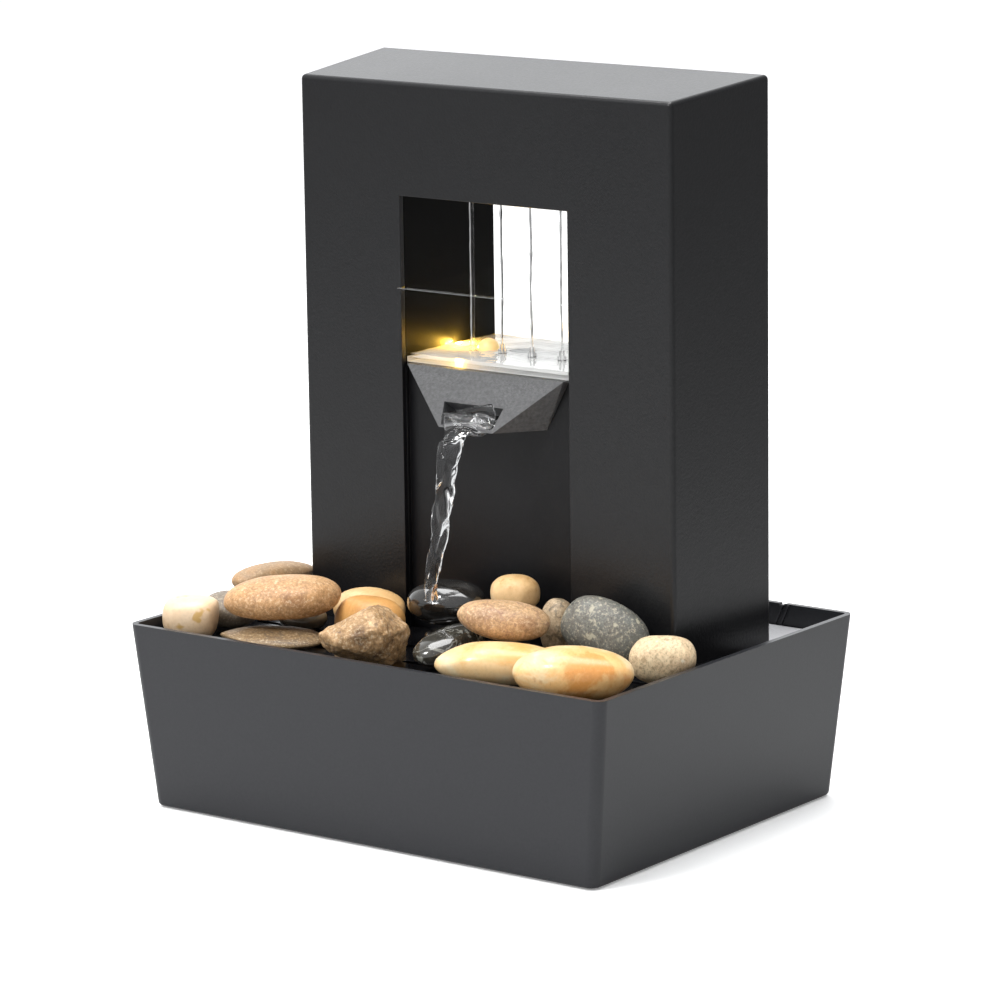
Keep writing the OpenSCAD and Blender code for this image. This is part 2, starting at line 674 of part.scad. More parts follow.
// Each pebble: name, centre, size, turns about X, Y and Z, squareness, roughness, colour.
PEBBLES = [
    ["pebble_cream", [-91, -61.5, 69.9], [21.5, 18, 16.6], [0, 4, 30], 0.72, 0.03, "#e2cfae"],
    ["pebble_slate_left", [-91, -39.5, 68.4], [22, 21, 14], [0, 0, 10], 0.95, 0.02, "#6c6b63"],
    ["pebble_tan_large", [-57, -50, 79.2], [43, 30, 16], [0, -4, 37], 0.9, 0.02, "#b58a5d"],
    ["pebble_brown_left", [-91.5, -13, 75.8], [17, 44, 10.5], [-4, 0, -3], 0.9, 0.02, "#8d7352"],
    ["pebble_slab", [-56.5, -58.5, 65.5], [42, 26, 8.2], [0, 0, 22], 0.9, 0.02, "#7f765f"],
    ["rock_rough", [-11.5, -58, 73], [31, 29, 22], [0, 8, 25], 0.8, 0.06, "#7d6549"],
    ["pebble_straw", [-45, -14, 69.4], [29, 19, 16.2], [0, 0, 10], 0.9, 0.02, "#d8bd83"],
    ["pebble_orange", [-30.7, -33, 70.6], [28, 18, 18.5], [0, 0, 14], 0.9, 0.02, "#c48a42"],
    ["pebble_black_top", [-7, -18, 77.6], [31, 22, 16.5], [0, -5, 8], 0.9, 0.02, "#16181b"],
    ["pebble_black_front", [10.9, -39.5, 68.4], [33, 18, 12], [0, -12, 72], 0.9, 0.02, "#22262a"],
    ["pebble_yellow", [19.5, -12, 83], [19, 15.5, 14], [0, 0, 20], 0.85, 0.02, "#d9b877"],
    ["pebble_pink", [32, -35, 79.2], [34, 21, 14], [0, 6, 25], 0.88, 0.03, "#a98364"],
    ["pebble_speckled_small", [38.8, -12, 72.6], [13, 13, 22], [0, 0, 0], 0.85, 0.03, "#8b8470"],
    ["pebble_speckled_large", [61.5, -15, 75], [35, 17, 23], [-10, 20, 14], 0.9, 0.02, "#6f7466"],
    ["pebble_beige", [43.3, -53.6, 69], [48, 20, 15], [0, 0, 26], 0.9, 0.02, "#dcbb85"],
    ["pebble_amber", [78, -58, 71], [45, 25, 18.4], [0, 0, 20], 0.88, 0.02, "#dba55b"],
    ["pebble_sand", [90.6, -21.5, 70.2], [23.5, 20, 17.5], [0, 0, 30], 0.85, 0.03, "#b79a73"],
    ["pebble_dark_mid", [-4, -17, 64.9], [24, 18, 7], [0, 0, 0], 0.9, 0.02, "#2b2d2e"],
    ["pebble_dark_right", [28.4, -27, 65.6], [20, 16, 8.6], [0, 0, 0], 0.9, 0.02, "#34332f"],
    ["pebble_dark_left", [-66, -28, 66], [20, 18, 9.5], [0, 0, 0], 0.9, 0.02, "#3c3b37"]
];

module pebble(name)
    for (k = [0 : len(PEBBLES) - 1]) if (PEBBLES[k][0] == name)
        color(PEBBLES[k][6]) translate(PEBBLES[k][1]) rotate(PEBBLES[k][3])
            stone(PEBBLES[k][2], k, PEBBLES[k][4], PEBBLES[k][5]);

// ---- assembly -------------------------------------------------------------------------

basin();
rubber_feet();
deck();
deck_screws();
tower_shell();
front_panel();
back_cover();
cover_screws();
window_liner();
clear_tray();
spout();
drain_chute();
drain_grommet();
drip_manifold();
manifold_lid();
drip_threads();
thread_anchors();
riser_tube();
pump_cradle();
pump_body();
pump_cover();
impeller();
rotor_magnet();
impeller_shaft();
flow_slider();
pump_lead();
led_holder();
led_board();
led_lens();
led_seal();
led_lead();
inlet_body();
inlet_pin();
inlet_nut();
for (p = PEBBLES) pebble(p[0]);
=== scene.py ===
import math
import random

import bmesh
import bpy
from mathutils import Matrix, Vector, noise


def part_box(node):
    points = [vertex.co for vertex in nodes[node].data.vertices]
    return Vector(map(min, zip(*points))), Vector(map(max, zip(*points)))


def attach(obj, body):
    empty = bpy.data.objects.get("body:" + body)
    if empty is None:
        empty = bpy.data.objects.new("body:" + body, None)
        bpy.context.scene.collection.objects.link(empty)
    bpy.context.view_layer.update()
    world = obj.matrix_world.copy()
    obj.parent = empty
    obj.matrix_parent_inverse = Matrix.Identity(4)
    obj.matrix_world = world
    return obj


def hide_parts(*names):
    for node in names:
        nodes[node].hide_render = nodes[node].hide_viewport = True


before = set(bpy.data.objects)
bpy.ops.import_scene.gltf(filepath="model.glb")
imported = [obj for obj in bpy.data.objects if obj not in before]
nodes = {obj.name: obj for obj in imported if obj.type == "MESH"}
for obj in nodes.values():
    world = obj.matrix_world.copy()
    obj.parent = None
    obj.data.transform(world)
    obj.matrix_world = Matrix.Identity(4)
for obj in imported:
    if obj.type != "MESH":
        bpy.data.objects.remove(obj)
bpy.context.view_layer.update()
MM = 0.001


def new_object(name, data):
    made = bpy.data.objects.new(name, data)
    bpy.context.scene.collection.objects.link(made)
    return made


# ---- camera ---------------------------------------------------------------------------

YAW, PITCH, ROLL = (math.radians(a) for a in (36.73, 11.86, -0.79))
CAMERA_AT = Vector((1.0227, -1.3643, 0.4711))


def add_camera():
    camera = new_object("camera", bpy.data.cameras.new("camera"))
    camera.data.sensor_width = 36
    camera.data.lens = 172.67
    camera.data.clip_start = 0.05
    camera.data.clip_end = 50
    ahead = Vector((-math.sin(YAW) * math.cos(PITCH), math.cos(YAW) * math.cos(PITCH), -math.sin(PITCH)))
    right = Vector((math.cos(YAW), math.sin(YAW), 0))
    up = right.cross(ahead)
    side = math.cos(ROLL) * right + math.sin(ROLL) * up
    top = math.cos(ROLL) * up - math.sin(ROLL) * right
    turn = Matrix((side, top, -ahead)).transposed().to_4x4()
    camera.matrix_world = Matrix.Translation(CAMERA_AT) @ turn
    bpy.context.scene.camera = camera


add_camera()


# ---- material nodes -------------------------------------------------------------------


class Nodes:
    """Short ways to add nodes to a node tree."""

    def __init__(self, tree):
        self.tree = tree

    def node(self, kind, **settings):
        made = self.tree.nodes.new("ShaderNode" + kind)
        for key, value in settings.items():
            setattr(made, key, value)
        return made

    def link(self, source, target):
        self.tree.links.new(source, target)

    def feed(self, target, value):
        """Links an output to a socket, or sets the socket's constant."""
        if isinstance(value, bpy.types.NodeSocket):
            self.link(value, target)
        else:
            target.default_value = value

    def maths(self, how, a, b):
        made = self.node("Math", operation=how)
        self.feed(made.inputs[0], a)
        self.feed(made.inputs[1], b)
        return made.outputs[0]

    def between(self, value, low, high, start=0.0, end=1.0, smooth=False):
        """The value with start..end stretched to low..high."""
        made = self.node("MapRange", interpolation_type="SMOOTHSTEP" if smooth else "LINEAR")
        for name, number in (("From Min", start), ("From Max", end), ("To Min", low), ("To Max", high)):
            made.inputs[name].default_value = number
        self.link(value, made.inputs["Value"])
        return made.outputs["Result"]


class Paint(Nodes):
    """A new material with one Principled shader, and its textures in object space."""

    def __init__(self, name):
        self.material = bpy.data.materials.new(name)
        self.material.use_nodes = True
        super().__init__(self.material.node_tree)
        self.bsdf = self.tree.nodes["Principled BSDF"]
        self.place = self.node("TexCoord").outputs["Object"]

    def axes(self):
        """The place's X, Y and Z, as outputs."""
        made = self.node("SeparateXYZ")
        self.link(self.place, made.inputs[0])
        return made.outputs

    def stretch(self, scale, turn=(0, 0, 0)):
        mapping = self.node("Mapping")
        mapping.inputs["Scale"].default_value = scale
        mapping.inputs["Rotation"].default_value = turn
        self.link(self.place, mapping.inputs["Vector"])
        return mapping.outputs["Vector"]

    def noise(self, scale, detail=3.0, rough=0.5, distort=0.0, at=None):
        made = self.node("TexNoise")
        self.link(at or self.place, made.inputs["Vector"])
        for name, number in (("Scale", scale), ("Detail", detail), ("Roughness", rough), ("Distortion", distort)):
            made.inputs[name].default_value = number
        return made.outputs["Fac"]

    def cells(self, scale, at):
        made = self.node("TexVoronoi")
        self.link(at, made.inputs["Vector"])
        made.inputs["Scale"].default_value = scale
        return made.outputs["Distance"]

    def ramp(self, value, stops, smooth=False):
        """Colours or greys at places from 0 to 1."""
        made = self.node("ValToRGB")
        band = made.color_ramp
        band.interpolation = "EASE" if smooth else "LINEAR"
        while len(band.elements) < len(stops):
            band.elements.new(0.5)
        for element, (at, tone) in zip(band.elements, stops):
            element.position = at
            element.color = (tone, tone, tone, 1) if isinstance(tone, (int, float)) else (*tone, 1)
        self.link(value, made.inputs["Fac"])
        return made.outputs["Color"]

    def mix(self, share, a, b):
        made = self.node("Mix", data_type="RGBA")
        self.feed(made.inputs[0], share)
        for target, value in ((made.inputs[6], a), (made.inputs[7], b)):
            self.feed(target, value if isinstance(value, bpy.types.NodeSocket) else (*value, 1))
        return made.outputs[2]

    def bump(self, height, strength, depth, below=None):
        made = self.node("Bump")
        made.inputs["Strength"].default_value = strength
        made.inputs["Distance"].default_value = depth
        self.link(height, made.inputs["Height"])
        if below:
            self.link(below, made.inputs["Normal"])
        return made.outputs["Normal"]

    def let_through(self, share, tint=(1, 1, 1)):
        """Mixes a see-through shader over the Principled one by share."""
        glass = self.node("BsdfTransparent")
        glass.inputs["Color"].default_value = (*tint, 1)
        blend = self.node("MixShader")
        self.link(share, blend.inputs[0])
        self.link(self.bsdf.outputs[0], blend.inputs[1])
        self.link(glass.outputs[0], blend.inputs[2])
        self.link(blend.outputs[0], self.tree.nodes["Material Output"].inputs["Surface"])
        return self.material

    def shade(self, **sockets):
        """Sets or links the Principled shader's sockets, with _ for a space in a name."""
        for name, value in sockets.items():
            target = self.bsdf.inputs[name.replace("_", " ")]
            if isinstance(value, tuple) and target.type == "RGBA":
                value = (*value, 1)
            self.feed(target, value)
        return self.material


def shades(colour, *shares):
    """The colour, darker or lighter by each share."""
    return [tuple(min(1, c * share) for c in colour) for share in shares]


def moulded(name, colour, rough, grain, depth, swing=0.25, specular=0.5):
    """Moulded plastic: slight cloudiness of tone and gloss, and a fine spark-eroded grain depth mm deep."""
    p = Paint(name)
    cloud = p.noise(14, 4)
    fine = p.noise(grain, 2, 0.6)
    dark, light = shades(colour, 1 - swing, 1 + swing)
    tone = p.mix(p.noise(grain * 0.7, 1), dark, light)
    tone = p.mix(p.between(cloud, 0, 0.25), tone, light)
    gloss = p.maths("ADD", p.between(cloud, rough - 0.05, rough + 0.03), p.between(fine, -0.04, 0.04))
    return p.shade(Base_Color=tone, Roughness=gloss, Specular_IOR_Level=specular,
                   Normal=p.bump(fine, 0.6, depth * MM))


def wet_deck():
    """The deck: grained where it is dry, at the back, with a painted sheen there (grey paint standing in for the
    bright backdrop's reflection), and glossy with water between the stones.
    """
    p = Paint("deck_plastic")
    shore = p.maths("ADD", p.axes()["Y"], p.between(p.noise(60, 3), -10 * MM, 10 * MM))
    dry = p.between(shore, 0, 1, 30 * MM, 50 * MM, smooth=True)
    fine = p.noise(900, 2, 0.6)
    # painted sheen: this grey stands in for the reflection of the bright backdrop that the dry black deck shows at
    # a grazing angle
    painted_sheen = p.mix(fine, (0.34, 0.34, 0.35), (0.55, 0.55, 0.57))
    return p.shade(Base_Color=p.mix(dry, (0.007, 0.007, 0.008), painted_sheen), Roughness=p.between(dry, 0.1, 0.42),
                   Normal=p.bump(p.maths("MULTIPLY", fine, dry), 0.6, 0.1 * MM))


def metal(name, colour, rough):
    """Brushed metal."""
    p = Paint(name)
    lines = p.noise(900, 2, at=p.stretch((1, 1, 8)))
    return p.shade(Base_Color=p.mix(lines, *shades(colour, 0.82, 1)), Metallic=1.0,
                   Roughness=p.between(lines, rough - 0.08, rough + 0.12),
                   Normal=p.bump(lines, 0.2, 0.02 * MM))


def soft(name, colour, rough=0.7):
    """Rubber or soft vinyl."""
    p = Paint(name)
    fine = p.noise(700, 3)
    return p.shade(Base_Color=p.mix(fine, *shades(colour, 0.75, 1)),
                   Roughness=p.between(fine, rough - 0.08, rough + 0.08),
                   Normal=p.bump(fine, 0.35, 0.04 * MM))


def clear(name, tint, ior, rough=0.0, wave=40, wave_depth=0.02, strength=0.2):
    """Vinyl or water, with a slightly uneven surface. Lamps shine through it."""
    p = Paint(name)
    uneven = p.noise(wave, 2, 0.4)
    p.shade(Base_Color=tint, Roughness=p.between(uneven, rough, rough + 0.015), IOR=ior,
            Transmission_Weight=1.0, Normal=p.bump(uneven, strength, wave_depth * MM))
    return p.let_through(p.node("LightPath").outputs["Is Shadow Ray"])


def pane(name, tint, low, high):
    """Thin clear acrylic between two corners: seen straight through, with a reflection that grows towards grazing
    angles. The rim of its front wall catches the light. Its floor is frosted, and clears towards the back."""
    mirror_most, rim_share = 0.35, 0.3
    frost_near, frost_far = 0.68, 0.2
    p = Paint(name)
    uneven = p.noise(25, 2, 0.4)
    normal = p.bump(uneven, 0.2, 0.02 * MM)
    place = p.axes()
    on_floor = p.maths("LESS_THAN", place["Z"], low.z + 1.9 * MM)
    floor = p.maths("MULTIPLY", on_floor, p.maths("GREATER_THAN", place["Y"], low.y + 4 * MM))
    behind = p.between(place["Y"], 0, 1, low.y + 18 * MM, low.y + 40 * MM, smooth=True)
    p.shade(Base_Color=p.mix(uneven, (0.9, 0.9, 0.9), (1, 1, 1)), Metallic=p.maths("SUBTRACT", 1.0, floor),
            Roughness=p.maths("ADD", p.maths("MULTIPLY", floor, 0.3), p.between(uneven, 0.01, 0.04)),
            Normal=normal)
    facing = p.node("LayerWeight")
    facing.inputs["Blend"].default_value = 0.5
    p.link(normal, facing.inputs["Normal"])
    mirror = p.maths("MULTIPLY", p.maths("POWER", facing.outputs["Facing"], 5.0), mirror_most)
    rim = p.maths("MULTIPLY", p.maths("GREATER_THAN", place["Z"], high.z - 0.3 * MM), rim_share)
    rim = p.maths("MULTIPLY", p.maths("LESS_THAN", place["Y"], low.y + 3 * MM), rim)
    clouded = p.maths("MULTIPLY", floor, p.between(behind, frost_near, frost_far))
    return p.let_through(p.maths("SUBTRACT", 1.0, p.maths("ADD", mirror, p.maths("ADD", rim, clouded))), tint)


def warmed(tone):
    """Wet river stone takes on a deeper, warmer colour than dry stone."""
    return tuple(min(0.94, c * w) for c, w in zip(tone, (1.15, 1.0, 0.88)))


def stone(name, tones, rough, specks=(), veins=None, scale=55, grit=0.12, pits=0.0, coat=0.0,
          stretch=(1, 1, 1), mottle=0.6):
    """Water-worn stone. tones are stops of a slow cloud, specks are (scale, threshold, colour, share), and veins
    are (scale, width, colour, share). grit and pits are depths in mm."""
    p = Paint(name)
    tones = [(place, warmed(tone)) for place, tone in tones]
    at = p.stretch(stretch, (0.4, 0.2, 0.7))
    slow = p.noise(scale, 5, 0.62, 0.5, at)
    tone = p.ramp(slow, tones, smooth=True)
    mid = p.noise(scale * 5, 4, 0.65, 0.2, at)
    sand = p.noise(950, 3, 0.7, 0.0, at)
    for grain, stops, share, colour in (
        (mid, [(0.35, 0.0), (0.7, 0.5 * mottle)], 0.6, (0.1, 0.05, 0.02)),
        (sand, [(0.36, 0.55 * mottle), (0.5, 0.0)], 0.65, (0.06, 0.035, 0.02)),
        (sand, [(0.54, 0.0), (0.66, 0.6 * mottle)], 0.55, (1.0, 0.86, 0.62)),
    ):
        tone = p.mix(p.ramp(grain, stops), tone, p.mix(share, tone, colour))
    for size, threshold, colour, share in specks:
        spots = p.noise(size, 2, 0.5, 0.0, at)
        tone = p.mix(p.ramp(spots, [(threshold, 0.0), (min(1, threshold + 0.07), share)]), tone, colour)
    if veins:
        size, width, colour, share = veins
        drift = p.maths("ABSOLUTE", p.maths("SUBTRACT", p.noise(size, 4, 0.5, 0.8, at), 0.5), 0.0)
        tone = p.mix(p.ramp(drift, [(0.0, share), (width, 0.0)]), tone, colour)
    fine = p.noise(1500, 3, 0.6)
    gloss = p.maths("ADD", p.between(slow, rough - 0.1, rough + 0.1), p.between(fine, -0.06, 0.06))
    surface = p.bump(fine, 0.35, grit * 0.4 * MM)
    surface = p.bump(mid, 0.5, grit * MM, surface)
    if pits:
        surface = p.bump(p.ramp(p.cells(420, at), [(0.0, 0.0), (0.25, 1.0)]), 0.6, pits * MM, surface)
    return p.shade(Base_Color=tone, Roughness=gloss, Coat_Weight=coat, Coat_Roughness=0.06, Normal=surface)


# ---- mesh tools -----------------------------------------------------------------------


def add_object(name, mesh, body, material, stands_for=()):
    """A piece of the visual model that rides on a body and stands for some CAD nodes."""
    made = new_object(name, mesh)
    made.data.materials.clear()
    made.data.materials.append(material)
    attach(made, body)
    if stands_for:
        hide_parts(*stands_for)
    return made


def apply_modifiers(made):
    """Turns the object's modifiers into its mesh."""
    graph = bpy.context.evaluated_depsgraph_get()
    mesh = bpy.data.meshes.new_from_object(made.evaluated_get(graph))
    made.modifiers.clear()
    made.data = mesh


def smooth_below(mesh, degrees):
    """Smooth shading, with edges sharper than the angle kept sharp."""
    bm = bmesh.new()
    bm.from_mesh(mesh)
    for face in bm.faces:
        face.smooth = True
    for edge in bm.edges:
        edge.smooth = len(edge.link_faces) == 2 and edge.calc_face_angle(4) < math.radians(degrees)
    bm.to_mesh(mesh)
    bm.free()


def finished_mesh(name, bm):
    """A mesh made from bm, which is then freed."""
    mesh = bpy.data.meshes.new(name)
    bm.to_mesh(mesh)
    bm.free()
    return mesh


def welded(node):
    """A CAD node's faces, with their seams closed."""
    bm = bmesh.new()
    bm.from_mesh(nodes[node].data)
    bmesh.ops.remove_doubles(bm, verts=bm.verts, dist=0.002 * MM)
    return bm


def refined(node, body, material, edge, sharp=30, segments=2):
    """The CAD node again, its flat areas made into single faces, with rounds of edge mm that catch the light."""
    bm = welded(node)
    bmesh.ops.dissolve_limit(bm, angle_limit=math.radians(0.5), verts=bm.verts, edges=bm.edges,
                             delimit={"NORMAL"})
    made = add_object(node + "_finished", finished_mesh(node + "_mesh", bm), body, material, (node,))
    smooth_below(made.data, sharp)
    if edge:
        bevel = made.modifiers.new("edges", "BEVEL")
        bevel.width = edge * MM
        bevel.segments = segments
        bevel.limit_method = "ANGLE"
        bevel.angle_limit = math.radians(sharp)
    flat = made.modifiers.new("flat faces", "WEIGHTED_NORMAL")
    flat.weight = 100
    flat.keep_sharp = True
    apply_modifiers(made)


def tube_mesh(name, path, radius, sides, squash=lambda share: 1.0):
    """A closed tube along path. radius(share, angle) is its size at each place, and squash(share) its flatness."""
    bm = bmesh.new()
    rings = []
    count = len(path)
    for i, here in enumerate(path):
        ahead = (path[min(i + 1, count - 1)] - path[max(i - 1, 0)]).normalized()
        side = ahead.cross(Vector((0, 1, 0.01))).normalized()
        out = side.cross(ahead).normalized()
        ring = []
        for k in range(sides):
            angle = math.tau * k / sides
            r = radius(i / (count - 1), angle)
            rise = math.sin(angle) * r * squash(i / (count - 1))
            ring.append(bm.verts.new(here + side * (math.cos(angle) * r) + out * rise))
        rings.append(ring)
    for a, b in zip(rings, rings[1:]):
        for k in range(sides):
            bm.faces.new((a[k], a[(k + 1) % sides], b[(k + 1) % sides], b[k]))
    bm.faces.new(rings[0][::-1])
    bm.faces.new(rings[-1])
    bmesh.ops.recalc_face_normals(bm, faces=bm.faces)
    mesh = finished_mesh(name, bm)
    mesh.shade_smooth()
    return mesh


def smooth_path(points, steps):
    """Catmull-Rom curve through points, each a tuple of numbers in mm."""
    points = [Vector(p) * MM for p in points]
    path = []
    for i in range(len(points) - 1):
        a, b, c, d = (points[min(max(i + k, 0), len(points) - 1)] for k in (-1, 0, 1, 2))
        for s in range(steps):
            t = s / steps
            path.append(0.5 * (2 * b + (c - a) * t + (2 * a - 5 * b + 4 * c - d) * t * t
                               + (3 * b - a - 3 * c + d) * t ** 3))
    path.append(points[-1])
    return path


# ---- plastics, metals and hidden parts -------------------------------------------------

tower_black = moulded("tower_plastic", (0.007, 0.007, 0.008), rough=0.32, grain=1000, depth=0.12,
                      specular=0.42)
basin_black = moulded("basin_plastic", (0.018, 0.0187, 0.022), rough=0.36, grain=1500, depth=0.03)
panel_black = moulded("panel_plastic", (0.005, 0.005, 0.006), rough=0.4, grain=1100, depth=0.07,
                      specular=0.28)
spout_grey = moulded("spout_plastic", (0.085, 0.085, 0.087), rough=0.42, grain=1100, depth=0.35, swing=0.6)
liner_black = moulded("liner_plastic", (0.004, 0.004, 0.004), rough=0.36, grain=400, depth=0.01,
                      specular=0.06)
inner_black = moulded("inner_plastic", (0.012, 0.012, 0.013), rough=0.4, grain=900, depth=0.05)
slider_grey = moulded("slider_plastic", (0.2, 0.2, 0.21), rough=0.45, grain=900, depth=0.04)
white_plastic = moulded("rotor_plastic", (0.75, 0.75, 0.72), rough=0.4, grain=900, depth=0.04,
                        swing=0.05)
ferrite = moulded("ferrite", (0.05, 0.05, 0.052), rough=0.6, grain=700, depth=0.06)
ceramic = moulded("ceramic_shaft", (0.75, 0.73, 0.68), rough=0.15, grain=600, depth=0.01,
                  swing=0.06)
board_green = moulded("board_lacquer", (0.02, 0.12, 0.05), rough=0.25, grain=500, depth=0.03)
steel = metal("stainless", (0.62, 0.62, 0.6), 0.28)
rubber = soft("black_rubber", (0.012, 0.012, 0.012))
sheath_black = soft("lead_sheath", (0.015, 0.015, 0.016), 0.5)
sheath_red = soft("lead_sheath_red", (0.3, 0.02, 0.015), 0.5)
acrylic = pane("acrylic", (0.995, 0.995, 0.99), *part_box("clear_tray"))
vinyl = clear("vinyl_hose", (0.9, 0.93, 0.92), 1.45, rough=0.08, wave=150, wave_depth=0.05)
anchor_clear = clear("anchor_acrylic", (1, 1, 1), 1.49, wave=300, wave_depth=0.05)
water = clear("water", (1, 1, 1), 1.33, wave=90, wave_depth=0.25, strength=0.35)
water_still = clear("water_in_tray", (1, 1, 1), 1.33, wave=110, wave_depth=0.3, strength=0.5)

refined("tower_shell", "head", tower_black, edge=0.2)
refined("basin", "basin", basin_black, edge=0.5, segments=3)
refined("front_panel", "head", panel_black, edge=0.2)
refined("back_cover", "head", tower_black, edge=0.3)
refined("spout", "head", spout_grey, edge=0.35)
refined("deck", "head", wet_deck(), edge=0.3)
refined("window_liner", "head", liner_black, edge=0.15)
refined("clear_tray", "head", acrylic, edge=0.2)

for material, names in (
    (inner_black, "drain_chute drip_manifold manifold_lid pump_cradle"),
    (inner_black, "pump_body pump_cover led_holder inlet_body"),
    (rubber, "rubber_feet drain_grommet led_seal"),
    (steel, "deck_screws cover_screws inlet_pin inlet_nut"),
    (vinyl, "riser_tube"), (anchor_clear, "thread_anchors"), (slider_grey, "flow_slider"),
    (white_plastic, "impeller"), (ferrite, "rotor_magnet"), (ceramic, "impeller_shaft"),
    (board_green, "led_board"), (sheath_black, "pump_lead"), (sheath_red, "led_lead"),
):
    for name in names.split():
        nodes[name].data.materials.clear()
        nodes[name].data.materials.append(material)

# ---- lamp -----------------------------------------------------------------------------


def lamp_material():
    p = Paint("lamp_lens")
    cloud = p.noise(300, 3)
    return p.shade(Base_Color=p.mix(cloud, (0.9, 0.56, 0.2), (1, 0.85, 0.5)),
                   Roughness=p.between(cloud, 0.25, 0.4), Normal=p.bump(cloud, 0.2, 0.03 * MM),
                   Emission_Color=(1.0, 0.62, 0.2), Emission_Strength=0.5)


def add_glow():
    """The lamp's light: a small warm source beside the lens, which glows on the tunnel's wall and the tray."""
    glow = bpy.data.lights.new("lamp_glow", "POINT")
    glow.energy = 0.1
    glow.color = (1.0, 0.58, 0.08)
    glow.shadow_soft_size = 1.5 * MM
    low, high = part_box("led_lens")
    glow_at = new_object("lamp_glow", glow)
    glow_at.location = (low.x - 11.5 * MM, high.y - 1 * MM, high.z - 4.6 * MM)
    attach(glow_at, "head")


refined("led_lens", "head", lamp_material(), edge=0, sharp=40)
add_glow()

# ---- pebbles --------------------------------------------------------------------------

